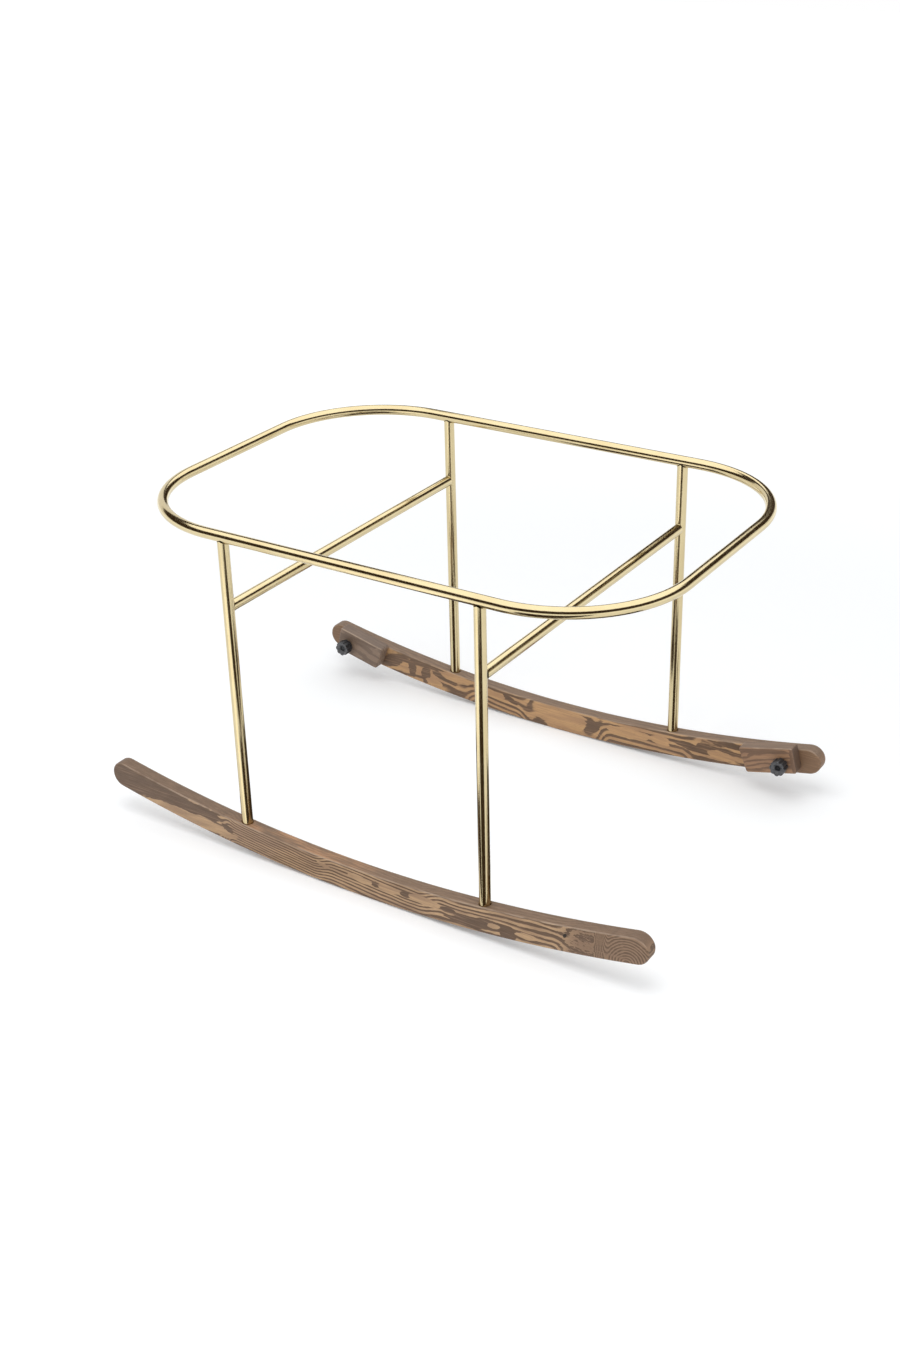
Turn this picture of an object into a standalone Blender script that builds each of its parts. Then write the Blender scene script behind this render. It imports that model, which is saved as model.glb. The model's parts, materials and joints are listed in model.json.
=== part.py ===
"""Rocking stand for a baby basket.

A rounded rectangular tube ring stands on four tube legs. Two cross bars below the ring carry the
basket. The legs stand in two wooden rockers, and two wooden stops on the rear rocker swing down to
keep the stand still. Metres, +Z up, +X along the rockers, the floor at z = 0.
"""
import math

import bmesh
import bpy
from mathutils import Vector

# Tube frame: the ring's sizes are those of its centre line
TUBE_RADIUS = 0.008
TUBE_WALL = 0.0015
RING_HALF_LENGTH = 0.400
RING_HALF_WIDTH = 0.278
RING_CORNER_RADIUS = 0.170
RING_HEIGHT = 0.497
RING_VENT_RADIUS = 0.003
LEG_CORNER_INSET = 0.0275
CROSS_BAR_DROP = 0.104

# Rockers
ROCKER_RADIUS = 2.13
ROCKER_OVERHANG = 0.052
ROCKER_HEIGHT = 0.042
ROCKER_EDGE_RADIUS = 0.0035

# Legs in the rockers: the web is the wood between a leg and its bolt's head
LEG_SOCKET_CLEARANCE = 0.0005
LEG_SOCKET_WALL = 0.0025
LEG_WEB = 0.0095
LEG_PLUG_LENGTH = 0.020
LEG_BOLT_RADIUS = 0.003
LEG_BOLT_TIP_GAP = 0.003
LEG_BOLT_HEAD_RIM = 0.002
LEG_BOLT_HEAD_HEIGHT = 0.005
LEG_BOLT_HEAD_INSET = 0.0012
LEG_BOLT_RECESS_CLEARANCE = 0.0008
HEX_KEY_RADIUS = 0.0023
HEX_KEY_DEPTH = 0.003

# Swing-down stops on the rear rocker: the pivot is offset below the stop's middle line
STOP_END_SETBACK = 0.052
STOP_PIVOT_DROP = 0.0155
STOP_PIVOT_OFFSET = 0.004
STOP_HEIGHT = 0.042
STOP_THICKNESS = 0.022
STOP_TAIL = 0.0205
STOP_FLOOR_CLEARANCE = 0.0005
STOP_TILT = math.radians(14.0)
STOP_RAKE = math.radians(8.0)
STOP_CORNER_RADIUS = 0.004
STOP_EDGE_RADIUS = 0.0025

# Stop studs and their inserts in the rocker, with the wood left behind each insert
STUD_RADIUS = 0.004
STUD_END_GAP = 0.001
STUD_INSERT_WALL = 0.0022
STUD_INSERT_BACKING = 0.0064

# Knobs: a lobed grip on a hub, a dish in its face, an eye below the dish, and a threaded insert
KNOB_RADIUS = 0.0122
KNOB_LENGTH = 0.016
KNOB_HUB_LENGTH = 0.0032
KNOB_HUB_WALL = 0.0022
KNOB_LOBES = 8
KNOB_LOBE_DEPTH = 0.0015
KNOB_EDGE_RADIUS = 0.0012
KNOB_RIM = 0.0015
KNOB_DISH_DEPTH = 0.0035
KNOB_EYE_RADIUS = 0.0042
KNOB_EYE_DEPTH = 0.0015
KNOB_INSERT_WALL = 0.0017
KNOB_INSERT_COVER = 0.0037

# Fits: GAP is left between pieces that touch, and PASS is how far a cutter runs past a face
GAP = 0.0003
PASS = 0.010

# Facets
TUBE_SIDES = 24
BORE_SIDES = 16
VENT_SIDES = 12
HEX_SIDES = 6
TURN_STEPS = 24
RING_CORNER_STEPS = 12
ROCKER_SIDE_FACETS = 15
ROCKER_END_STEPS = 12
STOP_CORNER_STEPS = 3
LOBE_STEPS = 8
WOOD_EDGE_SEGMENTS = 3
KNOB_EDGE_SEGMENTS = 2

# Mesh tolerances
MERGE_DISTANCE = 0.00001
FLAT_ANGLE = 0.001
SOFTENED_ANGLE = math.radians(50)
SMOOTH_ANGLE = math.radians(35)

FRONT, REAR = -1, 1
LEFT, RIGHT = -1, 1
SIDES = ((LEFT, "left"), (RIGHT, "right"))
ROWS = ((FRONT, "front"), (REAR, "rear"))
ALONG_Y = (math.pi / 2, 0, 0)


# Scene and materials

def clear_scene():
    """Remove every object, so the script starts from an empty scene."""
    for obj in list(bpy.data.objects):
        bpy.data.objects.remove(obj, do_unlink=True)


def new_collection(name):
    """Return a collection of this name, linked to the scene."""
    collection = bpy.data.collections.new(name)
    bpy.context.scene.collection.children.link(collection)
    return collection


def new_material(name, colour, metallic, roughness):
    """Return a Principled material."""
    material = bpy.data.materials.new(name)
    material.use_nodes = True
    shader = material.node_tree.nodes["Principled BSDF"]
    shader.inputs["Base Color"].default_value = (*colour, 1.0)
    shader.inputs["Metallic"].default_value = metallic
    shader.inputs["Roughness"].default_value = roughness
    material.diffuse_color = (*colour, 1.0)
    return material


clear_scene()
PARTS = new_collection("rocking_stand")
CUTTERS = new_collection("cutters")
GOLD = new_material("gold_tube", (0.62, 0.50, 0.32), 1.0, 0.28)
WOOD = new_material("smoked_wood", (0.27, 0.19, 0.13), 0.0, 0.55)
STOP_WOOD = new_material("stop_wood", (0.30, 0.20, 0.13), 0.0, 0.55)
BLACK_PLASTIC = new_material("knob_plastic", (0.02, 0.02, 0.022), 0.0, 0.4)
ZINC = new_material("zinc_steel", (0.55, 0.56, 0.58), 1.0, 0.35)
BRASS = new_material("brass_insert", (0.70, 0.52, 0.26), 1.0, 0.35)


# Modelling helpers

def link(name, mesh, material, location=(0, 0, 0), rotation=(0, 0, 0)):
    """Make an object for a mesh, in the parts collection, or among the cutters with no material."""
    obj = bpy.data.objects.new(name, mesh)
    obj.location = location
    obj.rotation_euler = rotation
    if material is None:
        CUTTERS.objects.link(obj)
        obj.hide_render = True
        obj.display_type = "WIRE"
    else:
        PARTS.objects.link(obj)
        mesh.materials.append(material)
    return obj


def cut(target, cutter, operation="DIFFERENCE"):
    """Cut a piece with a Boolean modifier, or with UNION join the other shape to it."""
    modifier = target.modifiers.new("cut_" + cutter.name, "BOOLEAN")
    modifier.operation = operation
    modifier.object = cutter


def soften(obj, radius, segments):
    """Round the sharp edges of a piece."""
    modifier = obj.modifiers.new("soft_edges", "BEVEL")
    modifier.width = radius
    modifier.segments = segments
    modifier.limit_method = "ANGLE"
    modifier.angle_limit = SOFTENED_ANGLE


def curve_mesh(curve, name):
    """Turn a curve into a closed mesh with flat faces joined, and remove the curve."""
    guide = bpy.data.objects.new(name + "_guide", curve)
    CUTTERS.objects.link(guide)
    bpy.context.view_layer.update()
    depsgraph = bpy.context.evaluated_depsgraph_get()
    mesh = bpy.data.meshes.new_from_object(guide.evaluated_get(depsgraph))
    mesh.name = name
    bpy.data.objects.remove(guide, do_unlink=True)
    bm = bmesh.new()
    bm.from_mesh(mesh)
    bmesh.ops.remove_doubles(bm, verts=bm.verts, dist=MERGE_DISTANCE)
    bmesh.ops.dissolve_limit(bm, angle_limit=FLAT_ANGLE, verts=bm.verts, edges=bm.edges)
    bmesh.ops.recalc_face_normals(bm, faces=bm.faces)
    bm.to_mesh(mesh)
    bm.free()
    mesh.shade_smooth()
    mesh.set_sharp_from_angle(angle=SMOOTH_ANGLE)
    return mesh


def add_points(curve, points):
    """Add one closed run of straight steps to a curve."""
    spline = curve.splines.new("POLY")
    spline.points.add(len(points) - 1)
    for spline_point, point in zip(spline.points, points):
        spline_point.co = (*point, 1.0)
    spline.use_cyclic_u = True


def ring_tube(name, points, radius, sides):
    """Mesh of a closed tube along points."""
    curve = bpy.data.curves.new(name, "CURVE")
    curve.dimensions = "3D"
    curve.bevel_depth = radius
    curve.bevel_resolution = (sides - 4) // 2
    add_points(curve, points)
    return curve_mesh(curve, name)


def plate(name, outline, thickness):
    """Mesh of a flat outline of (x, y) points, extruded by half its thickness each way along z."""
    curve = bpy.data.curves.new(name, "CURVE")
    curve.dimensions = "2D"
    curve.fill_mode = "BOTH"
    curve.extrude = thickness / 2
    add_points(curve, [(x, y, 0.0) for x, y in outline])
    return curve_mesh(curve, name)


def turned(name, profile, material, location, rotation=(0, 0, 0), closed=False, steps=TURN_STEPS):
    """Turn a profile of (radius, z) points about z; a closed profile makes a sleeve."""
    mesh = bpy.data.meshes.new(name)
    count = len(profile)
    edges = [(i, i + 1) for i in range(count - 1)]
    if closed:
        edges.append((count - 1, 0))
    mesh.from_pydata([(radius, 0.0, z) for radius, z in profile], edges, [])
    obj = link(name, mesh, material, location, rotation)
    screw = obj.modifiers.new("turn", "SCREW")
    screw.steps = steps
    screw.render_steps = steps
    screw.use_merge_vertices = True
    screw.merge_threshold = MERGE_DISTANCE
    return obj


def rod_profile(radius, low, high):
    """Profile of a plain rod between two heights."""
    return [(0.0, high), (radius, high), (radius, low), (0.0, low)]


def sleeve_profile(outer, bore, low, high):
    """Profile of a plain sleeve between two heights."""
    return [(outer, high), (outer, low), (bore, low), (bore, high)]


def cylinder_cutter(name, radius, low, high, location, rotation=(0, 0, 0), steps=TURN_STEPS):
    """Round cutter along its own z from low to high."""
    return turned(name, rod_profile(radius, low, high), None, location, rotation, steps=steps)


def rounded_corners(corners, radius, steps):
    """Replace each corner of a convex outline with an arc of the given radius."""
    points = []
    count = len(corners)
    for i, corner in enumerate(corners):
        here = Vector(corner)
        before = (Vector(corners[i - 1]) - here).normalized()
        after = (Vector(corners[(i + 1) % count]) - here).normalized()
        half_angle = before.angle(after) / 2
        centre = here + (before + after).normalized() * radius / math.sin(half_angle)
        start = here + before * radius / math.tan(half_angle) - centre
        sweep = math.pi - 2 * half_angle
        turn = 1 if before.x * after.y - before.y * after.x < 0 else -1
        for step in range(steps + 1):
            angle = turn * sweep * step / steps
            arm = Vector((start.x * math.cos(angle) - start.y * math.sin(angle),
                          start.x * math.sin(angle) + start.y * math.cos(angle)))
            points.append(tuple(centre + arm))
    return points


# Places worked out from the sizes: the legs stand under the ring's straight sides, and the rockers
# are thick enough to hold them

TUBE_BORE = TUBE_RADIUS - TUBE_WALL
LEG_X = RING_HALF_LENGTH - RING_CORNER_RADIUS - LEG_CORNER_INSET
LEG_Y = RING_HALF_WIDTH
LEG_HEAD = RING_HEIGHT - TUBE_RADIUS - GAP
CROSS_BAR_HEIGHT = RING_HEIGHT - CROSS_BAR_DROP
CROSS_BAR_END_Y = LEG_Y - TUBE_RADIUS - GAP
LEG_SOCKET_RADIUS = TUBE_RADIUS + LEG_SOCKET_CLEARANCE
LEG_BOLT_HEAD_RADIUS = LEG_BOLT_RADIUS + LEG_BOLT_HEAD_RIM
ROCKER_THICKNESS = 2 * (LEG_SOCKET_RADIUS + LEG_SOCKET_WALL)
ROCKER_HALF_LENGTH = RING_HALF_LENGTH + ROCKER_OVERHANG


def arc_rise(x):
    """Height of the rocker's circle at x above its lowest point."""
    return ROCKER_RADIUS - math.sqrt(ROCKER_RADIUS ** 2 - x ** 2)


# A rocker's end is a half circle on the board's middle line, square to the board there. An odd
# number of facets leaves one in the middle, flat on the floor.
END_SLOPE = math.asin((ROCKER_HALF_LENGTH - ROCKER_HEIGHT / 2) / ROCKER_RADIUS)
END_RADIUS = ROCKER_HEIGHT / 2 * math.cos(END_SLOPE)
END_X = ROCKER_HALF_LENGTH - END_RADIUS
END_REACH = END_RADIUS * math.sin(END_SLOPE)
ROCKER_FACETS = 2 * ROCKER_SIDE_FACETS + 1
FLOOR_SAG = arc_rise((END_X + END_REACH) / ROCKER_FACETS)


def rocker_bottom(x):
    """Height of the rocker's underside at x, whose middle facet lies on the floor."""
    return arc_rise(x) - FLOOR_SAG


def rocker_top(x):
    """Height of the rocker's upper side at x."""
    return rocker_bottom(x) + ROCKER_HEIGHT


# The bolt's head sits in a recess under the rocker, and the leg stands on the web above it
BOLT_HEAD_BOTTOM = rocker_bottom(LEG_X) + LEG_BOLT_HEAD_INSET
BOLT_HEAD_TOP = BOLT_HEAD_BOTTOM + LEG_BOLT_HEAD_HEIGHT
RECESS_ROOF = BOLT_HEAD_TOP + GAP
SOCKET_FLOOR = RECESS_ROOF + LEG_WEB
LEG_FOOT = SOCKET_FLOOR + GAP

# The stops swing on studs that stand out of the rear rocker's inner face
STOP_PIVOT_X = ROCKER_HALF_LENGTH - STOP_END_SETBACK
STOP_PIVOT_Z = rocker_top(STOP_PIVOT_X) - STOP_PIVOT_DROP
ROCKER_INNER_Y = LEG_Y - ROCKER_THICKNESS / 2
STOP_BACK_Y = ROCKER_INNER_Y - GAP
STOP_FRONT_Y = STOP_BACK_Y - STOP_THICKNESS
KNOB_BACK_Y = STOP_FRONT_Y - GAP
STUD_INSERT_RADIUS = STUD_RADIUS + GAP + STUD_INSERT_WALL
STUD_INSERT_LENGTH = ROCKER_THICKNESS - STUD_INSERT_BACKING - 2 * GAP
KNOB_INSERT_RADIUS = STUD_RADIUS + GAP + KNOB_INSERT_WALL
KNOB_HUB_RADIUS = KNOB_INSERT_RADIUS + GAP + KNOB_HUB_WALL
KNOB_REACH = KNOB_HUB_LENGTH + KNOB_LENGTH
KNOB_INSERT_LENGTH = KNOB_REACH - KNOB_DISH_DEPTH - KNOB_EYE_DEPTH - KNOB_INSERT_COVER - GAP


def pivot(side, y):
    """Point on a stop's swing axis."""
    return (side * STOP_PIVOT_X, y, STOP_PIVOT_Z)


# Tube frame

def ring_points():
    """Centre line of the ring, corner by corner."""
    points = []
    centre_x = RING_HALF_LENGTH - RING_CORNER_RADIUS
    centre_y = RING_HALF_WIDTH - RING_CORNER_RADIUS
    for quarter, (sx, sy) in enumerate(((1, 1), (-1, 1), (-1, -1), (1, -1))):
        for step in range(RING_CORNER_STEPS + 1):
            angle = math.pi / 2 * (quarter + step / RING_CORNER_STEPS)
            points.append((sx * centre_x + RING_CORNER_RADIUS * math.cos(angle),
                           sy * centre_y + RING_CORNER_RADIUS * math.sin(angle), 0.0))
    return points


def build_ring():
    """Bent tube ring, hollow, vented into each leg."""
    height = (0, 0, RING_HEIGHT)
    ring_mesh = ring_tube("basket_ring", ring_points(), TUBE_RADIUS, TUBE_SIDES)
    bore_mesh = ring_tube("ring_bore", ring_points(), TUBE_BORE, BORE_SIDES)
    ring = link("basket_ring", ring_mesh, GOLD, height)
    cut(ring, link("ring_bore", bore_mesh, None, height))
    for side, side_name in SIDES:
        for row, row_name in ROWS:
            vent = cylinder_cutter(f"vent_{row_name}_{side_name}", RING_VENT_RADIUS, -TUBE_RADIUS - PASS, 0,
                                   (side * LEG_X, row * LEG_Y, RING_HEIGHT), steps=VENT_SIDES)
            cut(ring, vent)


def build_tube(name, length, location, rotation):
    """Straight hollow tube, starting at its location."""
    profile = sleeve_profile(TUBE_RADIUS, TUBE_BORE, 0, length)
    return turned(name, profile, GOLD, location, rotation, closed=True, steps=TUBE_SIDES)


def build_legs():
    """Four legs, cut flat below the ring."""
    for side, side_name in SIDES:
        for row, row_name in ROWS:
            foot = (side * LEG_X, row * LEG_Y, LEG_FOOT)
            build_tube(f"leg_{row_name}_{side_name}", LEG_HEAD - LEG_FOOT, foot, (0, 0, 0))


def build_cross_bars():
    """Two bars between the front and rear legs, cut flat at both ends."""
    for side, side_name in SIDES:
        rear_end = (side * LEG_X, CROSS_BAR_END_Y, CROSS_BAR_HEIGHT)
        build_tube("cross_bar_" + side_name, 2 * CROSS_BAR_END_Y, rear_end, ALONG_Y)


# Rockers

def rocker_outline():
    """Side view of a rocker as (x, z): underside, right end, upper side, left end."""
    low_x = END_X + END_REACH
    high_x = END_X - END_REACH
    centre_z = (rocker_bottom(END_X) + rocker_top(END_X)) / 2
    spread = [2 * step / ROCKER_FACETS - 1 for step in range(ROCKER_FACETS + 1)]
    right_end = []
    for step in range(1, ROCKER_END_STEPS):
        angle = END_SLOPE - math.pi / 2 + math.pi * step / ROCKER_END_STEPS
        right_end.append((END_X + END_RADIUS * math.cos(angle), centre_z + END_RADIUS * math.sin(angle)))
    underside = [(low_x * share, rocker_bottom(low_x * share)) for share in spread]
    upper_side = [(-high_x * share, rocker_top(high_x * share)) for share in spread]
    left_end = [(-x, z) for x, z in reversed(right_end)]
    return underside + right_end + upper_side + left_end


def leg_socket_profile():
    """Leg socket from above, bolt hole through the web, and bolt head recess from below."""
    hole = LEG_BOLT_RADIUS + GAP
    recess = LEG_BOLT_HEAD_RADIUS + LEG_BOLT_RECESS_CLEARANCE
    top = rocker_top(LEG_X) + PASS
    bottom = rocker_bottom(LEG_X) - PASS
    return [(0.0, top), (LEG_SOCKET_RADIUS, top), (LEG_SOCKET_RADIUS, SOCKET_FLOOR), (hole, SOCKET_FLOOR),
            (hole, RECESS_ROOF), (recess, RECESS_ROOF), (recess, bottom), (0.0, bottom)]


def build_rockers():
    """Two curved boards with soft edges and sockets for the legs."""
    for row, row_name in ROWS:
        mesh = plate("rocker_" + row_name, rocker_outline(), ROCKER_THICKNESS)
        rocker = link("rocker_" + row_name, mesh, WOOD, (0, row * LEG_Y, 0), ALONG_Y)
        soften(rocker, ROCKER_EDGE_RADIUS, WOOD_EDGE_SEGMENTS)
        for side, side_name in SIDES:
            socket = turned(f"leg_socket_{row_name}_{side_name}", leg_socket_profile(), None,
                            (side * LEG_X, row * LEG_Y, 0))
            cut(rocker, socket)
            if row == REAR:
                pocket = cylinder_cutter("insert_pocket_" + side_name, STUD_INSERT_RADIUS + GAP,
                                         -STUD_INSERT_LENGTH - 2 * GAP, PASS,
                                         pivot(side, ROCKER_INNER_Y), ALONG_Y)
                cut(rocker, pocket)


# Leg fixings, hidden in the rockers

def build_leg_fixings():
    """A threaded plug in each leg's foot and the bolt that draws it down from under the rocker."""
    plug_top = LEG_FOOT + LEG_PLUG_LENGTH
    plug_profile = sleeve_profile(TUBE_BORE - GAP, LEG_BOLT_RADIUS + GAP, LEG_FOOT, plug_top)
    bolt_tip = plug_top - LEG_BOLT_TIP_GAP
    bolt_profile = [(0.0, bolt_tip), (LEG_BOLT_RADIUS, bolt_tip), (LEG_BOLT_RADIUS, BOLT_HEAD_TOP),
                    (LEG_BOLT_HEAD_RADIUS, BOLT_HEAD_TOP), (LEG_BOLT_HEAD_RADIUS, BOLT_HEAD_BOTTOM),
                    (0.0, BOLT_HEAD_BOTTOM)]
    for side, side_name in SIDES:
        for row, row_name in ROWS:
            place = f"{row_name}_{side_name}"
            axis = (side * LEG_X, row * LEG_Y, 0)
            turned("leg_plug_" + place, plug_profile, ZINC, axis, closed=True, steps=BORE_SIDES)
            bolt = turned("leg_bolt_" + place, bolt_profile, ZINC, axis, steps=BORE_SIDES)
            key = cylinder_cutter("hex_key_" + place, HEX_KEY_RADIUS, BOLT_HEAD_BOTTOM - PASS,
                                  BOLT_HEAD_BOTTOM + HEX_KEY_DEPTH, axis, steps=HEX_SIDES)
            cut(bolt, key)


# Stops

def stop_outline(side):
    """Side view of a stop about its pivot, lying level, its raked end towards the stand's middle."""
    top = STOP_PIVOT_OFFSET + STOP_HEIGHT / 2
    bottom = STOP_PIVOT_OFFSET - STOP_HEIGHT / 2
    reach = STOP_PIVOT_Z - STOP_FLOOR_CLEARANCE
    top_length = (reach + top * math.sin(STOP_RAKE)) / math.cos(STOP_RAKE)
    bottom_length = (reach + bottom * math.sin(STOP_RAKE)) / math.cos(STOP_RAKE)
    corners = [(-side * top_length, top), (-side * bottom_length, bottom),
               (side * STOP_TAIL, bottom), (side * STOP_TAIL, top)]
    return rounded_corners(corners, STOP_CORNER_RADIUS, STOP_CORNER_STEPS)


def build_stops():
    """Two wooden stops, each swinging on its stud beside the rear rocker."""
    for side, side_name in SIDES:
        mesh = plate("stop_" + side_name, stop_outline(side), STOP_THICKNESS)
        place = pivot(side, (STOP_BACK_Y + STOP_FRONT_Y) / 2)
        stop = link("stop_" + side_name, mesh, STOP_WOOD, place, (math.pi / 2, -side * STOP_TILT, 0))
        soften(stop, STOP_EDGE_RADIUS, WOOD_EDGE_SEGMENTS)
        hole = cylinder_cutter("stud_hole_" + side_name, STUD_RADIUS + GAP, -STOP_THICKNESS,
                               STOP_THICKNESS, place, ALONG_Y)
        cut(stop, hole)


# Knobs, studs and inserts; their local z points out of the knob's face

def knob_outline():
    """Round outline with broad lobes and narrow grooves."""
    points = []
    for step in range(KNOB_LOBES * LOBE_STEPS):
        angle = 2 * math.pi * step / (KNOB_LOBES * LOBE_STEPS)
        groove = ((1 - math.cos(KNOB_LOBES * angle)) / 2) ** 2
        radius = KNOB_RADIUS - KNOB_LOBE_DEPTH * groove
        points.append((radius * math.cos(angle), radius * math.sin(angle)))
    return points


def knob_dish_profile():
    """Shallow cone in the knob's face with a deeper round eye, about the face's middle."""
    dish_radius = KNOB_RADIUS - KNOB_LOBE_DEPTH - KNOB_RIM
    cutter_rim = dish_radius + (dish_radius - KNOB_EYE_RADIUS) * PASS / KNOB_DISH_DEPTH
    eye_floor = -KNOB_DISH_DEPTH - KNOB_EYE_DEPTH
    return [(0.0, PASS), (cutter_rim, PASS), (KNOB_EYE_RADIUS, -KNOB_DISH_DEPTH),
            (KNOB_EYE_RADIUS, eye_floor), (0.0, eye_floor)]


def build_knobs():
    """Two lobed knobs on hubs, with dished faces and a pocket for the threaded insert."""
    middle = KNOB_HUB_LENGTH + KNOB_LENGTH / 2
    for side, side_name in SIDES:
        mesh = plate("knob_" + side_name, knob_outline(), KNOB_LENGTH)
        knob = link("knob_" + side_name, mesh, BLACK_PLASTIC, pivot(side, KNOB_BACK_Y - middle), ALONG_Y)
        soften(knob, KNOB_EDGE_RADIUS, KNOB_EDGE_SEGMENTS)
        hub = cylinder_cutter("knob_hub_" + side_name, KNOB_HUB_RADIUS, 0, middle,
                              pivot(side, KNOB_BACK_Y), ALONG_Y)
        cut(knob, hub, "UNION")
        dish = turned("knob_dish_" + side_name, knob_dish_profile(), None,
                      pivot(side, KNOB_BACK_Y - KNOB_REACH), ALONG_Y)
        cut(knob, dish)
        pocket = cylinder_cutter("knob_pocket_" + side_name, KNOB_INSERT_RADIUS + GAP, -PASS,
                                 KNOB_INSERT_LENGTH + GAP, pivot(side, KNOB_BACK_Y), ALONG_Y)
        cut(knob, pocket)


def build_studs():
    """Stud from the insert in the rocker, through the stop, into the insert in the knob."""
    bore = STUD_RADIUS + GAP
    inner_end = STUD_INSERT_LENGTH - STUD_END_GAP
    outer_end = ROCKER_INNER_Y - KNOB_BACK_Y + KNOB_INSERT_LENGTH - STUD_END_GAP
    stud = rod_profile(STUD_RADIUS, -inner_end, outer_end)
    rocker_insert = sleeve_profile(STUD_INSERT_RADIUS, bore, -STUD_INSERT_LENGTH - GAP, -GAP)
    knob_insert = sleeve_profile(KNOB_INSERT_RADIUS, bore, 0, KNOB_INSERT_LENGTH)
    for side, side_name in SIDES:
        rocker_face = pivot(side, ROCKER_INNER_Y)
        knob_back = pivot(side, KNOB_BACK_Y)
        turned("stud_" + side_name, stud, ZINC, rocker_face, ALONG_Y)
        turned("rocker_insert_" + side_name, rocker_insert, BRASS, rocker_face, ALONG_Y, closed=True)
        turned("knob_insert_" + side_name, knob_insert, BRASS, knob_back, ALONG_Y, closed=True)


build_ring()
build_legs()
build_cross_bars()
build_rockers()
build_leg_fixings()
build_stops()
build_knobs()
build_studs()
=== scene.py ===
"""Looks of the rocking stand: satin gold tubes, smoked wood, black knobs, a white studio and its camera."""
import json
import math

import bmesh
import bpy
from mathutils import Matrix, Vector


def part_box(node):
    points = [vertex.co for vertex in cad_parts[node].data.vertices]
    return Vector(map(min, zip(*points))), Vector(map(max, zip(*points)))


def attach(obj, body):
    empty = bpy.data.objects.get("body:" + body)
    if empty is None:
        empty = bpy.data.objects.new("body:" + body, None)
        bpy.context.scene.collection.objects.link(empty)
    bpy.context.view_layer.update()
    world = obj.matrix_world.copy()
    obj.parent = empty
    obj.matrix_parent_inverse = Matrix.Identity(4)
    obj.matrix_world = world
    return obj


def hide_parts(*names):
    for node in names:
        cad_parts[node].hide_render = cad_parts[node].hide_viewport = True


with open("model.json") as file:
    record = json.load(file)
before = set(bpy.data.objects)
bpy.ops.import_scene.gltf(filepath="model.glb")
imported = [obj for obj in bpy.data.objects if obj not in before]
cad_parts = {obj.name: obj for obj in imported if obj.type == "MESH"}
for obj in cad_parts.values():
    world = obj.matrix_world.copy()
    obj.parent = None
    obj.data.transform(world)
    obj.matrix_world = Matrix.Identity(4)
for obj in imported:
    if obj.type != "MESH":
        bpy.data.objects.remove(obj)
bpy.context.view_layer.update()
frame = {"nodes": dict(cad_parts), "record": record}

# Sizes that the frame's boxes don't give, the same as the model's
RING_CORNER_RADIUS = 0.170
TUBE_WALL = 0.0015
ROCKER_RADIUS = 2.13
ROCKER_HEIGHT = 0.042
ROCKER_EDGE_RADIUS = 0.0035
LEG_SOCKET_CLEARANCE = 0.0005
STOP_PIVOT = Vector((0.400, 0.2557, 0.06435))
STOP_PIVOT_OFFSET = 0.004
STOP_HEIGHT = 0.042
STOP_TAIL = 0.0205
STOP_FLOOR_CLEARANCE = 0.0005
STOP_TILT = math.radians(14.0)
STOP_RAKE = math.radians(8.0)
STOP_CORNER_RADIUS = 0.004
STOP_EDGE_RADIUS = 0.0025
STUD_RADIUS = 0.004
KNOB_RADIUS = 0.0122
KNOB_HUB_LENGTH = 0.0032
KNOB_HUB_RADIUS = 0.0085
KNOB_LOBES = 8
KNOB_LOBE_DEPTH = 0.0015
KNOB_EDGE_RADIUS = 0.0012
KNOB_RIM = 0.0015
KNOB_DISH_DEPTH = 0.0035
KNOB_EYE_RADIUS = 0.0042
KNOB_EYE_DEPTH = 0.0015
LEG_BOLT_RADIUS = 0.003
LEG_BOLT_HEAD_HEIGHT = 0.005
LEG_BOLT_RECESS_CLEARANCE = 0.0008
GAP = 0.0003

# Details that only the looks have
WELD_RADIUS = 0.0012
WELD_INSET = 0.0004
WELD_SWEEP = math.radians(42)
WELD_RIPPLE, WELD_RIPPLES = 0.10, 5
RIM_CHAMFER = 0.0002
# How far each leg's head and each bar's front end was filed round the tube that it meets
LEG_COPES = {"front_left": 0.50, "front_right": 0.40, "rear_left": 0.55, "rear_right": 0.60}
BAR_COPES = {"left": 0.88, "right": 0.40}
SOCKET_CHAMFER = 0.0009
KNOB_HUB_CHAMFER = 0.0004
KNOB_HUB_FILLET = 0.0003
KNOB_RIM_CHAMFER = 0.0002
# Width over which the painted reflection on a knob's dished face fades in from the eye
KNOB_REFLECTION_BLEND = 0.0012
# How far a cutter reaches past what it cuts, and how far the countersink's reaches up and down
PASS = 0.010
COUNTERSINK_ABOVE, COUNTERSINK_BELOW = 0.004, 0.002

# Tones of the wood: bare early wood, its smoked parts, late wood, and the upper and lower faces, which are
# warmer along one stretch of the front rocker
FRONT_TONES = {"gold": (0.56, 0.36, 0.20), "mid": (0.31, 0.19, 0.115), "taupe": (0.145, 0.086, 0.051),
               "edge": (0.222, 0.138, 0.085), "warm_edge": (0.46, 0.240, 0.115)}
REAR_TONES = {"gold": (0.56, 0.33, 0.155), "mid": (0.37, 0.21, 0.112), "taupe": (0.145, 0.085, 0.049),
              "edge": (0.245, 0.163, 0.108)}
LEFT_STOP_TONES = {"gold": (0.27, 0.185, 0.130), "mid": (0.23, 0.155, 0.108), "taupe": (0.150, 0.100, 0.070),
                   "edge": (0.220, 0.155, 0.115)}
RIGHT_STOP_TONES = {"gold": (0.40, 0.225, 0.125), "mid": (0.29, 0.165, 0.098),
                    "taupe": (0.165, 0.098, 0.062), "edge": (0.260, 0.175, 0.120)}
KNOT_TONE = (0.012, 0.009, 0.007)
# Paler tone painted on the round edges: a painted highlight
EDGE_HIGHLIGHT_TONE = (0.50, 0.38, 0.28)
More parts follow.
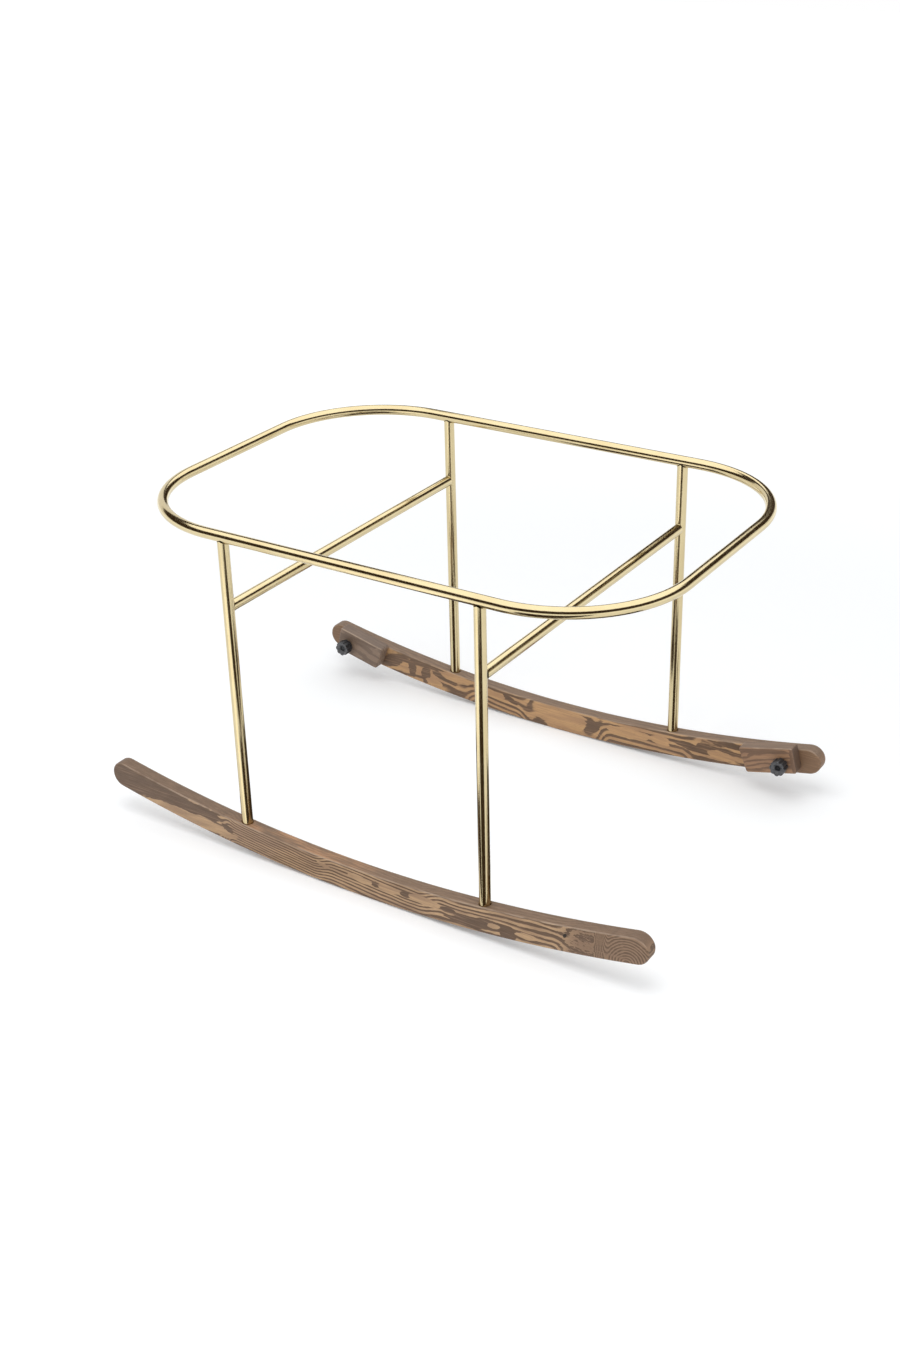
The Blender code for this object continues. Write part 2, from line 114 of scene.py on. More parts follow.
# Figure of the wood. Places lie along the piece, and heights are measured from the line of bend and middle.
# seed: shift of the noises; spacing: thickness of a growth layer; slope: its lean across the side
# contrast: strength of dark layers; rub: painted highlight on round edges; tail: 1 to darken the +x end
# runs of even lines: from, to, steepness, fall; speckles, smoked and warm_tops: from, to
# ovals where one layer lies bare: place, height, half length, half height, slant, darkness
# knots: as ovals, without darkness; tips with arched layers: place, height, thickness of an arch, from, to
PLAIN_FIGURE = {"contrast": 1.0, "runs": (), "speckles": (), "tips": (), "knots": (), "warm_tops": (),
                "smoked": (), "tail": 0.0}
ROCKER_FIGURE = {**PLAIN_FIGURE, "bend": 0.5 / ROCKER_RADIUS, "middle": ROCKER_HEIGHT / 2}
STOP_FIGURE = {**PLAIN_FIGURE, "bend": 0.0, "middle": STOP_PIVOT_OFFSET}
FRONT_FIGURE = {
    **ROCKER_FIGURE, "seed": (0.0, 0.0, 0.0), "spacing": 0.0060, "slope": 0.25, "edge_highlight": 0.45,
    "runs": ((-0.235, -0.060, 1.10, 0.06), (-0.060, 0.120, 0.85, 0.09), (0.120, 0.330, 0.60, 0.06)),
    "ovals": ((-0.400, 0.005, 0.150, 0.036, 0.0, 1), (-0.314, -0.0140, 0.102, 0.0125, 0.085, 0),
              (-0.232, 0.002, 0.012, 0.006, -0.25, 1), (-0.062, 0.0090, 0.012, 0.0040, -0.08, 0),
              (0.004, 0.0070, 0.022, 0.0050, -0.08, 0), (0.030, 0.0075, 0.006, 0.0050, 0.0, 1),
              (0.052, 0.0065, 0.020, 0.0052, -0.06, 0), (0.080, 0.0060, 0.009, 0.0050, 0.0, 1),
              (0.112, 0.0055, 0.026, 0.0062, -0.05, 0), (0.150, 0.0020, 0.012, 0.0040, 0.0, 1),
              (0.196, -0.0060, 0.046, 0.0080, 0.02, 1), (0.2215, -0.0050, 0.010, 0.0038, 0.0, 0),
              (0.246, -0.0100, 0.013, 0.0110, 0.0, 1), (0.273, -0.0085, 0.016, 0.0050, -0.08, 0)),
    "speckles": ((0.330, 0.385),), "tips": ((0.421, -0.020, 0.0042, 0.372, 0.396),),
    "knots": ((0.331, 0.006, 0.0030, 0.0036, 0.4),), "warm_tops": ((-0.220, 0.010),),
    "smoked": ((0.335, 0.500),)}
REAR_FIGURE = {
    **ROCKER_FIGURE, "seed": (3.7, 1.3, 2.1), "spacing": 0.0085, "slope": 0.20, "edge_highlight": 0.35,
    "runs": ((-0.170, -0.060, 0.75, 0.10), (0.080, 0.240, 0.70, 0.08)),
    "ovals": ((-0.322, 0.000, 0.020, 0.0100, 0.3, 1), (-0.283, 0.002, 0.008, 0.0170, 0.0, 1),
              (-0.255, -0.001, 0.009, 0.0150, 0.3, 1), (-0.215, 0.004, 0.026, 0.0055, -0.10, 1),
              (-0.240, -0.010, 0.016, 0.0060, 0.0, 0), (-0.195, 0.012, 0.030, 0.0070, 0.0, 0),
              (-0.128, 0.010, 0.030, 0.0065, -0.05, 0), (-0.088, 0.0085, 0.014, 0.0050, -0.35, 1),
              (0.014, 0.000, 0.044, 0.0220, 0.1, 0), (0.067, -0.0005, 0.018, 0.0110, 0.65, 1),
              (0.132, 0.0050, 0.048, 0.0085, -0.02, 0), (0.186, 0.0030, 0.020, 0.0120, -0.10, 0),
              (0.238, 0.002, 0.040, 0.0060, -0.22, 1), (0.292, -0.006, 0.022, 0.0080, -0.10, 0),
              (0.425, 0.000, 0.055, 0.0450, 0.0, 0.60), (-0.430, 0.000, 0.050, 0.0450, 0.0, 0.65)),
    "smoked": ((-0.500, -0.360), (0.370, 0.500))}
LEFT_STOP_FIGURE = {
    **STOP_FIGURE, "seed": (7.1, 0.4, 5.2), "spacing": 0.0060, "slope": 0.35, "contrast": 0.75, "edge_highlight": 0.55,
    "ovals": ((0.022, 0.014, 0.034, 0.0050, 0.10, 1), (0.052, -0.004, 0.014, 0.0050, 0.0, 0))}
RIGHT_STOP_FIGURE = {
    **STOP_FIGURE, "seed": (9.3, 2.2, 6.4), "spacing": 0.0040, "slope": 0.55, "contrast": 0.80, "edge_highlight": 0.80,
    "ovals": ((-0.030, 0.0150, 0.050, 0.0035, 0.0, 1), (0.020, 0.000, 0.006, 0.0500, 0.0, 1)), "tail": 1.0}
# Softness of the ends of runs and smoked stretches, of speckles, and of warm tops
RUN_SOFTNESS, SPECKLE_SOFTNESS, TOP_SOFTNESS = 0.020, 0.022, 0.05
# Noises of the wood: scales along, across and up the piece, detail and roughness
BROAD_WAVES = (5.5, 14.0, 22.0), 2.0, 0.45
SMALL_WAVES = (22.0, 50.0, 80.0), 3.0, 0.55
FRINGE = (90.0, 500.0, 500.0), 3.0, 0.6
SPECKLE = (240.0, 420.0, 560.0), 2.0, 0.5
FIBRE = (35.0, 1100.0, 1100.0), 3.0, 0.6
PORES = (130.0, 1900.0, 1900.0), 2.0, 0.5
CLOUD = (10.0, 45.0, 70.0), 2.0, 0.5
COMBED = (16.0, 360.0, 460.0), 2.0, 0.5
STREAKS = (12.0, 420.0, 420.0), 3.0, 0.6
# How far they lift the growth layers, and the share of that where even lines run steeply
BROAD_LIFT, SMALL_LIFT, FRINGE_LIFT, SPECKLE_LIFT = 0.034, 0.0080, 0.0009, 0.007
STEEP_SPAN, STEEP_SHARE = (0.3, 1.2), 0.40
# Where a growth layer turns dark and where it turns light again, as parts of its thickness
LATE_START, LATE_END = (0.34, 0.58), (0.90, 0.985)
# How far the noises move an oval's rim, and its softness, as parts of the oval's size
OVAL_WANDER, OVAL_FRINGE, OVAL_RIM = 1.5, 0.25, (0.96, 1.06)
# Values between which a noise, a direction or a distance tells, and the shares of colour that it mixes in
NOISE_SPAN = (0.3, 0.7)
CLOUD_MIX = (0.42, 0.66, 0.0, 0.75)
WARM_COMB_MIX = (0.52, 0.66, 0.0, 0.45)
COOL_COMB_MIX = (0.53, 0.68, 0.0, 0.55)
STREAK_MIX = (0.35, 0.68, 0.0, 0.75)
FACE_MIX = (0.45, 0.85, 0.0, 0.88)
KNOT_MIX = (1.1, 1.5, 0.92, 0.0)
TAIL_END_MIX = (0.70, 0.95, 0.0, 0.7)
PATCH_SPAN = (0.35, 0.65)
PORE_SPAN, PORE_SHARE = (0.60, 0.72), 0.40
# Where the round edges' painted highlight lies, the noise values that make it uneven, and its least share
ROUND_EDGE_SPAN, EDGE_HIGHLIGHT_SPAN, EDGE_HIGHLIGHT_LEAST = (0.28, 0.60), (0.35, 0.60), 0.10
SMOKED_SHARE, KNOT_WANDER = 0.88, 0.8
# Shades of the tones: threads, combed and smoked stretches of the bare wood, light and dark threads of the
# late wood, patches and streaks of the upper and lower faces, +x ends and pores; then reliefs of the bump
THREAD_SHADE, COMBED_SHADE, SMOKED_SHADE = 0.82, 0.9, 0.85
LATE_LIGHT, LATE_DARK = 1.15, 0.78
PATCH_SHADE, STREAK_SHADE, TAIL_END_SHADE, PORE_SHADE = 0.88, 0.62, 0.55, 0.42
LATE_RELIEF, FIBRE_RELIEF, PORE_RELIEF = 0.35, 0.8, 0.5
WOOD_ROUGHNESS = (0.50, 0.62)
# Tones of metal and plastic, and their roughness from the smoothest spots to the dullest
GOLD_TONES, GOLD_ROUGHNESS = ((0.63, 0.52, 0.30), (0.68, 0.57, 0.34)), (0.13, 0.17)
MARK_ROUGHNESS, MARK_RELIEF = 0.05, 0.5
PLASTIC_TONES, PLASTIC_ROUGHNESS = ((0.012, 0.013, 0.015), (0.024, 0.025, 0.028)), (0.26, 0.36)
# Grey painted on the knobs' dished faces: a painted reflection
FACE_REFLECTION_TONE = (0.105, 0.106, 0.112)
ZINC_TONE, ZINC_ROUGHNESS = (0.55, 0.56, 0.58), 0.30
BRASS_TONE, BRASS_ROUGHNESS = (0.70, 0.52, 0.26), 0.28
PLATING_SHADE, PLATING_ROUGHNESS = 0.82, 0.1

# Fineness of the meshes
TUBE_SIDES = 64
WELD_STEPS = 24
WELD_SIDES = 12
CORNER_STEPS = 48
ROCKER_STEPS = 160
ROCKER_END_STEPS = 36
EDGE_STEPS = 7
STOP_CORNER_STEPS = 8
KNOB_STEPS = 24
BORE_SIDES = 64
SHARP_ANGLE = math.radians(32)
MERGE_DISTANCE = 0.00001

LEFT, RIGHT = -1, 1
SIDES = ((LEFT, "left"), (RIGHT, "right"))
ROWS = ("front", "rear")
PLACES = [f"{row}_{side}" for row in ROWS for _, side in SIDES]


def middle(node):
    """Middle of a node's box."""
    low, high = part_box(node)
    return (Vector(low) + Vector(high)) / 2


# Sizes read from the frame
RING_LOW, RING_HIGH = (Vector(corner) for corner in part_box("basket_ring"))
TUBE_RADIUS = (RING_HIGH.z - RING_LOW.z) / 2
TUBE_BORE = TUBE_RADIUS - TUBE_WALL
RING_HEIGHT = (RING_HIGH.z + RING_LOW.z) / 2
RING_HALF_LENGTH = RING_HIGH.x - TUBE_RADIUS
RING_HALF_WIDTH = RING_HIGH.y - TUBE_RADIUS
ROCKER_LOW, ROCKER_HIGH = (Vector(corner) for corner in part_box("rocker_rear"))
ROCKER_THICKNESS = ROCKER_HIGH.y - ROCKER_LOW.y
ROCKER_HALF_LENGTH = ROCKER_HIGH.x
LEG_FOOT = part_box("leg_front_left")[0][2]

# Turns the z axis to the front
TOWARDS_FRONT = Matrix.Rotation(math.pi / 2, 4, "X")


# Mesh building

def new_piece(name, mesh, material, matrix=None):
    """Object for a mesh, in its place."""
    mesh.materials.append(material)
    obj = bpy.data.objects.new(name, mesh)
    bpy.context.scene.collection.objects.link(obj)
    if matrix is not None:
        obj.matrix_world = matrix
    return obj


def skin(name, rows, closed=False, cap=False):
    """Mesh through rows of points, each row a closed loop; a closed skin joins its last row to its first."""
    bm = bmesh.new()
    loops = [[bm.verts.new(point) for point in row] for row in rows]
    pairs = list(zip(loops, loops[1:]))
    if closed:
        pairs.append((loops[-1], loops[0]))
    for low, high in pairs:
        count = len(low)
        for i in range(count):
            j = (i + 1) % count
            bm.faces.new((low[i], low[j], high[j], high[i]))
    if cap:
        bm.faces.new(loops[0])
        bm.faces.new(loops[-1])
    bmesh.ops.remove_doubles(bm, verts=bm.verts, dist=MERGE_DISTANCE)
    bmesh.ops.recalc_face_normals(bm, faces=bm.faces)
    mesh = bpy.data.meshes.new(name)
    bm.to_mesh(mesh)
    bm.free()
    return mesh


def smooth(mesh):
    """Shade a mesh smooth, but not across its sharp edges."""
    mesh.shade_smooth()
    mesh.set_sharp_from_angle(angle=SHARP_ANGLE)
    return mesh


def even_normals(obj):
    """Let the large faces set the shading, so that flat faces look flat beside their round edges."""
    modifier = obj.modifiers.new("even_normals", "WEIGHTED_NORMAL")
    modifier.keep_sharp = True


def carve(mesh, cutters):
    """Cut the cutters' meshes, each with its matrix, out of a mesh, and return the new mesh."""
    target = bpy.data.objects.new(mesh.name + "_whole", mesh)
    scene = bpy.context.scene
    scene.collection.objects.link(target)
    tools = []
    for i, (cutter_mesh, matrix) in enumerate(cutters):
        tool = bpy.data.objects.new(f"cutter_{i}", cutter_mesh)
        tool.matrix_world = matrix
        scene.collection.objects.link(tool)
        modifier = target.modifiers.new(tool.name, "BOOLEAN")
        modifier.operation = "DIFFERENCE"
        modifier.object = tool
        tools.append(tool)
    bpy.context.view_layer.update()
    depsgraph = bpy.context.evaluated_depsgraph_get()
    result = bpy.data.meshes.new_from_object(target.evaluated_get(depsgraph))
    for obj in [target, *tools]:
        bpy.data.objects.remove(obj, do_unlink=True)
    return result


def circle(radius, count, z=0.0):
    """Points round the z axis."""
    turn = 2 * math.pi / count
    return [Vector((radius * math.cos(turn * i), radius * math.sin(turn * i), z)) for i in range(count)]


def turned(name, profile):
    """Solid turned about z from a profile of (radius, z) points that starts and ends on the axis."""
    return skin(name, [circle(radius, BORE_SIDES, z) for radius, z in profile])


def drill(name, radius, high, low):
    """Cylinder about z between two heights, which cuts a round hole."""
    return turned(name, [(0, high), (radius, high), (radius, low), (0, low)])


def dress(obj, slot, *nodes):
    """Let a piece ride on the body of the node that it stands for."""
    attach(obj, NODE_BODY[nodes[0]])
    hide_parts(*nodes)


NODE_BODY = {node: body for body, nodes in frame["record"]["behaviour"]["bodies"].items() for node in nodes}


# Shader building

class Graph:
    """Short calls that add shader nodes to one node tree; an input may be a number, a colour or a socket."""

    def __init__(self, tree):
        self.tree = tree

    def node(self, kind, inputs, **settings):
        """Add a node, set it up and feed its inputs."""
        made = self.tree.nodes.new("ShaderNode" + kind)
        for key, value in settings.items():
            setattr(made, key, value)
        for key, value in inputs.items():
            self.feed(made.inputs[key], value)
        return made

    def feed(self, socket, value):
        """Link a socket to an input, or set the input's own value."""
        if isinstance(value, bpy.types.NodeSocket):
            self.tree.links.new(value, socket)
        elif isinstance(value, tuple) and len(value) == 3 and socket.type == "RGBA":
            socket.default_value = (*value, 1.0)
        else:
            socket.default_value = value

    def math(self, operation, *values, clamp=False):
        """One sum of numbers or sockets."""
        return self.node("Math", dict(enumerate(values)), operation=operation, use_clamp=clamp).outputs[0]

    def vector(self, operation, *values):
        """One sum of vectors."""
        return self.node("VectorMath", dict(enumerate(values)), operation=operation).outputs[0]

    def noise(self, place, scale, detail=2.0, roughness=0.5):
        """Noise from 0 to 1, about 0.5."""
        inputs = {"Vector": place, "Scale": scale, "Detail": detail, "Roughness": roughness}
        return self.node("TexNoise", inputs).outputs[0]

    def stretched_noise(self, place, scales, detail=2.0, roughness=0.5):
        """Noise with a scale of its own along each axis."""
        return self.noise(self.vector("MULTIPLY", place, scales), 1.0, detail, roughness)

    def spread(self, value, low, high, to_low=0.0, to_high=1.0):
        """Stretch a range of values to another, smoothly."""
        inputs = {"Value": value, "From Min": low, "From Max": high, "To Min": to_low, "To Max": to_high}
        return self.node("MapRange", inputs, interpolation_type="SMOOTHSTEP").outputs[0]

    def blend(self, factor, first, second):
        """Mix two colours, which the node takes at its sockets 6 and 7."""
        made = self.tree.nodes.new("ShaderNodeMix")
        made.data_type = "RGBA"
        self.feed(made.inputs[0], factor)
        self.feed(made.inputs[6], first)
        self.feed(made.inputs[7], second)
        return made.outputs[2]


class Surface(Graph):
    """A material's node tree with its shader."""

    def __init__(self, name):
        self.material = bpy.data.materials.new(name)
        self.material.use_nodes = True
        super().__init__(self.material.node_tree)
        self.shader = self.tree.nodes["Principled BSDF"]

    def bump(self, height, distance, strength):
        """Bump the shader's normal by a height of 0 to 1 over a distance in metres."""
        inputs = {"Height": height, "Distance": distance, "Strength": strength}
        made = self.node("Bump", inputs)
        self.feed(self.shader.inputs["Normal"], made.outputs[0])

    def finish(self, **inputs):
        """Feed the shader's inputs, named with underscores, and return the material."""
        for key, value in inputs.items():
            self.feed(self.shader.inputs[key.replace("_", " ")], value)
        return self.material


def gold_material():
    """Satin champagne gold plating, with faint streaks, handling marks and uneven polish."""
    graph = Surface("satin_gold")
    place = graph.node("TexCoord", {}).outputs["Object"]
    cloud = graph.noise(place, scale=22.0, detail=3.0)
    fine = graph.noise(place, scale=900.0)
    marks = graph.noise(place, scale=160.0, detail=4.0, roughness=0.7)
    tint = graph.blend(graph.spread(cloud, *NOISE_SPAN), *GOLD_TONES)
    worn = graph.spread(marks, low=0.62, high=0.75)
    polish = graph.spread(cloud, *NOISE_SPAN, *GOLD_ROUGHNESS)
    rough = graph.math("MULTIPLY_ADD", worn, MARK_ROUGHNESS, polish)
    height = graph.math("MULTIPLY_ADD", marks, MARK_RELIEF, fine)
    graph.bump(height, distance=0.00002, strength=0.25)
    return graph.finish(Base_Color=tint, Metallic=1.0, Roughness=rough)


def shade(colour, share):
    """A colour made lighter or darker."""
    return tuple(share * part for part in colour)


def oval_distance(graph, x, level, spot):
    """Distance from the middle of a slanted oval, 1 on its edge."""
    middle_x, middle_level, half_length, half_height, slant = spot
    along = graph.math("SUBTRACT", x, middle_x)
    above = graph.math("MULTIPLY_ADD", along, -slant, graph.math("SUBTRACT", level, middle_level))
    flat = graph.node("CombineXYZ", {0: graph.math("DIVIDE", along, half_length),
                                     1: graph.math("DIVIDE", above, half_height)}).outputs[0]
    return graph.node("VectorMath", {0: flat}, operation="LENGTH").outputs["Value"]


def window(graph, x, start, end, soft):
    """1 between two places along a board, and 0 outside them."""
    return graph.math("SUBTRACT", graph.spread(x, start - soft, start + soft),
                      graph.spread(x, end - soft, end + soft))


def growth_layers(graph, x, y, level, moved, figure):
    """Where the wood's dark late layers show, 0 to 1, and the noise that roughens their edges."""
    broad = graph.stretched_noise(moved, *BROAD_WAVES)
    small = graph.stretched_noise(moved, *SMALL_WAVES)
    fringe = graph.stretched_noise(moved, *FRINGE)
    slope = figure["slope"]
    lift = graph.math("MULTIPLY_ADD", level, slope, y)
    for start, end, lines, tilt in figure["runs"]:
        share = graph.math("MULTIPLY", window(graph, x, start, end, RUN_SOFTNESS), lines)
        slope = graph.math("ADD", share, slope)
        fallen = graph.math("MULTIPLY_ADD", graph.math("SUBTRACT", x, start), tilt, level)
        lift = graph.math("MULTIPLY_ADD", share, fallen, lift)
    calm = graph.spread(slope, *STEEP_SPAN, 1.0, STEEP_SHARE)
    lift = graph.math("MULTIPLY_ADD", graph.math("MULTIPLY", broad, calm), BROAD_LIFT, lift)
    lift = graph.math("MULTIPLY_ADD", graph.math("MULTIPLY", small, calm), SMALL_LIFT, lift)
    for start, end in figure["speckles"]:
        speck = graph.stretched_noise(moved, *SPECKLE)
        share = window(graph, x, start, end, SPECKLE_SOFTNESS)
        lift = graph.math("MULTIPLY_ADD", graph.math("MULTIPLY", speck, share), SPECKLE_LIFT, lift)
    for spot_x, spot_level, thickness, start, end in figure["tips"]:
        distance = oval_distance(graph, x, level, (spot_x, spot_level, 1.0, 1.0, 0.0))
        arch = graph.math("MULTIPLY", distance, figure["spacing"] / thickness)
        arch = graph.math("MULTIPLY_ADD", small, SMALL_LIFT, arch)
        gap = graph.math("SUBTRACT", arch, lift)
        lift = graph.math("MULTIPLY_ADD", graph.spread(x, start, end), gap, lift)
    lift = graph.math("MULTIPLY_ADD", fringe, FRINGE_LIFT, lift)
    layer = graph.math("FRACT", graph.math("DIVIDE", lift, figure["spacing"]))
    ended = graph.spread(layer, *LATE_END)
    late = graph.math("SUBTRACT", graph.spread(layer, *LATE_START), ended, clamp=True)
    # The noises lie about 0.5, so half their reach comes off
    wander = graph.math("MULTIPLY_ADD", small, OVAL_WANDER, -(OVAL_WANDER + OVAL_FRINGE) / 2)
    wander = graph.math("MULTIPLY_ADD", fringe, OVAL_FRINGE, wander)
    for *spot, dark in figure["ovals"]:
        away = graph.math("ADD", oval_distance(graph, x, level, spot), wander)
        within = graph.spread(away, *OVAL_RIM, 1.0, 0.0)
        late = graph.math("MULTIPLY_ADD", within, graph.math("SUBTRACT", dark, late), late)
    return late, small


def wood_material(name, tones, figure):
    """Smoked wood: growth layers cut nearly flat by the sides, with spots where one layer lies bare."""
    graph = Surface(name)
    coordinates = graph.node("TexCoord", {})
    place = coordinates.outputs["Object"]
    moved = graph.vector("ADD", place, figure["seed"])
    x, y, z = graph.node("SeparateXYZ", {0: place}).outputs
    bent = graph.math("MULTIPLY", graph.math("MULTIPLY", x, x), -figure["bend"])
    level = graph.math("SUBTRACT", graph.math("ADD", z, bent), figure["middle"])
    late, small = growth_layers(graph, x, y, level, moved, figure)
    fibre = graph.stretched_noise(moved, *FIBRE)
    thread = graph.spread(fibre, *NOISE_SPAN)
    pores = graph.spread(graph.stretched_noise(moved, *PORES), *PORE_SPAN)
    cloud = graph.stretched_noise(moved, *CLOUD)
    combed = graph.stretched_noise(moved, *COMBED)
    warm = graph.blend(thread, tones["gold"], shade(tones["gold"], THREAD_SHADE))
    warm = graph.blend(graph.spread(cloud, *CLOUD_MIX), warm, tones["mid"])
    warm = graph.blend(graph.spread(combed, *WARM_COMB_MIX), warm, shade(tones["mid"], COMBED_SHADE))
    for start, end in figure["smoked"]:
        share = graph.math("MULTIPLY", window(graph, x, start, end, RUN_SOFTNESS), SMOKED_SHARE)
        warm = graph.blend(share, warm, shade(tones["mid"], SMOKED_SHADE))
    cool = graph.blend(thread, shade(tones["taupe"], LATE_LIGHT), shade(tones["taupe"], LATE_DARK))
    cool = graph.blend(graph.spread(combed, *COOL_COMB_MIX), cool, tones["mid"])
    colour = graph.blend(graph.math("MULTIPLY", late, figure["contrast"]), warm, cool)
    # The upper and lower faces show the layers' edges, which smoked to a plainer tone
    nx, ny, nz = graph.node("SeparateXYZ", {0: coordinates.outputs["Normal"]}).outputs
    up, out = graph.math("ABSOLUTE", nz), graph.math("ABSOLUTE", ny)
    plain = tones["edge"]
    for start, end in figure["warm_tops"]:
        plain = graph.blend(window(graph, x, start, end, TOP_SOFTNESS), plain, tones["warm_edge"])
    plain = graph.blend(graph.spread(small, *PATCH_SPAN), shade(tones["edge"], PATCH_SHADE), plain)
    streak = graph.stretched_noise(moved, *STREAKS)
    plain = graph.blend(graph.spread(streak, *STREAK_MIX), plain, shade(tones["edge"], STREAK_SHADE))
    colour = graph.blend(graph.spread(up, *FACE_MIX), colour, plain)
    # Round edges painted paler, unevenly along them: a painted highlight; a tail's +x end made darker
    painted_highlight = graph.spread(graph.math("MINIMUM", up, out), *ROUND_EDGE_SPAN)
    painted_highlight = graph.math("MULTIPLY", painted_highlight, graph.spread(small, *EDGE_HIGHLIGHT_SPAN, EDGE_HIGHLIGHT_LEAST, figure["edge_highlight"]))
    colour = graph.blend(painted_highlight, colour, EDGE_HIGHLIGHT_TONE)
    tail_end_dark = graph.spread(graph.math("MULTIPLY", nx, figure["tail"]), *TAIL_END_MIX)
    colour = graph.blend(tail_end_dark, colour, shade(tones["taupe"], TAIL_END_SHADE))
    for spot in figure["knots"]:
        away = graph.math("MULTIPLY_ADD", small, KNOT_WANDER, oval_distance(graph, x, level, spot))
        colour = graph.blend(graph.spread(away, *KNOT_MIX), colour, KNOT_TONE)
    pored = graph.math("MULTIPLY", pores, PORE_SHARE)
    colour = graph.blend(pored, colour, shade(tones["taupe"], PORE_SHADE))
    # Late wood stands up a little, fibres more, and pores go in
    height = graph.math("MULTIPLY", fibre, FIBRE_RELIEF)
    height = graph.math("MULTIPLY_ADD", late, LATE_RELIEF, height)
    height = graph.math("MULTIPLY_ADD", pores, -PORE_RELIEF, height)
    graph.bump(height, distance=0.0003, strength=0.5)
    rough = graph.spread(fibre, *NOISE_SPAN, *WOOD_ROUGHNESS)
    return graph.finish(Base_Color=colour, Roughness=rough)


def plastic_material():
    """Satin black moulding, slightly mottled, with fine grain, and a painted grey reflection on the dished
    face round the eye.
    """
    graph = Surface("satin_black_plastic")
    coordinates = graph.node("TexCoord", {})
    place = coordinates.outputs["Object"]
    mottle = graph.noise(place, scale=400.0, detail=3.0)
    grain = graph.noise(place, scale=3500.0)
    colour = graph.blend(graph.spread(mottle, *NOISE_SPAN), *PLASTIC_TONES)
    x, y, _ = graph.node("SeparateXYZ", {0: place}).outputs
    squares = graph.math("MULTIPLY_ADD", x, x, graph.math("MULTIPLY", y, y))
    from_axis = graph.math("SQRT", squares)
    facing = graph.node("SeparateXYZ", {0: coordinates.outputs["Normal"]}).outputs[2]
    # The dished face round the eye is painted grey, unevenly with the mottle: a painted reflection
    face_reflection = graph.math("MULTIPLY", graph.spread(facing, low=0.25, high=0.6),
                         graph.spread(from_axis, KNOB_EYE_RADIUS, KNOB_EYE_RADIUS + KNOB_REFLECTION_BLEND))
    face_reflection = graph.math("MULTIPLY", face_reflection, graph.spread(mottle, *NOISE_SPAN, to_low=0.6))
    colour = graph.blend(face_reflection, colour, FACE_REFLECTION_TONE)
    graph.bump(grain, distance=0.00004, strength=0.4)
    rough = graph.spread(mottle, *NOISE_SPAN, *PLASTIC_ROUGHNESS)
    return graph.finish(Base_Color=colour, Roughness=rough)


def plated_material(name, colour, roughness):
    """Turned and plated metal with fine turning lines and a cloudy finish."""
    graph = Surface(name)
    place = graph.node("TexCoord", {}).outputs["Object"]
    cloud = graph.noise(place, scale=300.0, detail=3.0)
    lines = graph.stretched_noise(place, scales=(200.0, 200.0, 9000.0))
    tint = graph.blend(graph.spread(cloud, *NOISE_SPAN), colour, shade(colour, PLATING_SHADE))
    graph.bump(lines, distance=0.00003, strength=0.4)
    rough = graph.spread(cloud, *NOISE_SPAN, roughness, roughness + PLATING_ROUGHNESS)
    return graph.finish(Base_Color=tint, Metallic=1.0, Roughness=rough)


# Tube frame

def ring_path():
    """Ring's centre line: (point, outward direction) in the ring's plane."""
    path = []
    straight_x = RING_HALF_LENGTH - RING_CORNER_RADIUS
    straight_y = RING_HALF_WIDTH - RING_CORNER_RADIUS
    for quarter, (sx, sy) in enumerate(((1, 1), (-1, 1), (-1, -1), (1, -1))):
        for step in range(CORNER_STEPS + 1):
            angle = math.pi / 2 * (quarter + step / CORNER_STEPS)
            outward = Vector((math.cos(angle), math.sin(angle), 0))
            centre = Vector((sx * straight_x, sy * straight_y, 0))
            path.append((centre + RING_CORNER_RADIUS * outward, outward))
    return path


def build_ring():
    """The bent tube ring."""
    rows = []
    for point, outward in ring_path():
        row = []
        for spot in circle(TUBE_RADIUS, TUBE_SIDES):
            row.append(point + outward * spot.x + Vector((0, 0, spot.y)))
        rows.append(row)
    mesh = smooth(skin("ring_tube", rows, closed=True))
    ring = new_piece("ring_tube", mesh, GOLD, Matrix.Translation((0, 0, RING_HEIGHT)))
    dress(ring, "gold_tube", "basket_ring")


def flat_tube(name, low, high, low_cope=0.0, high_cope=0.0):
    """Hollow tube along z with broken rims. A cope of 1 fits an end round a tube along x, and 0 is flat."""
    inset = RIM_CHAMFER
    profile = [(TUBE_RADIUS - inset, low), (TUBE_RADIUS, low + inset), (TUBE_RADIUS, high - inset),
               (TUBE_RADIUS - inset, high), (TUBE_BORE + inset, high), (TUBE_BORE, high - inset),
               (TUBE_BORE, low + inset), (TUBE_BORE + inset, low)]
    rows = []
    for radius, z in profile:
        row = circle(radius, TUBE_SIDES, z)
        for spot in row:
            depth = TUBE_RADIUS - math.sqrt(TUBE_RADIUS ** 2 - spot.y ** 2)
            spot.z += depth * (high_cope if z > (low + high) / 2 else -low_cope)
        rows.append(row)
    return smooth(skin(name, rows, closed=True))


def weld_beads(name, matrix):
    """Two short beads where the end of a tube along z touches a tube along x through the origin."""
    for start, label in ((0.0, "first"), (math.pi, "second")):
        rows = []
        for step in range(WELD_STEPS + 1):
            share = 2 * step / WELD_STEPS - 1
            lean = WELD_SWEEP * share
            swell = 1 + WELD_RIPPLE * math.sin(WELD_RIPPLES * math.pi * share)
            radius = WELD_RADIUS * swell * math.sqrt(1 - share ** 2)
            outward = Vector((math.cos(start + lean), math.sin(start + lean), 0))
            centre = (TUBE_RADIUS - WELD_INSET) * outward
            centre.z = -TUBE_RADIUS * (1 + math.cos(lean)) / 2
            spots = circle(radius, WELD_SIDES)
            rows.append([centre + outward * spot.x + Vector((0, 0, spot.y)) for spot in spots])
        mesh = smooth(skin(f"{name}_{label}", rows))
        bead = new_piece(mesh.name, mesh, GOLD, matrix)
        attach(bead, "frame")


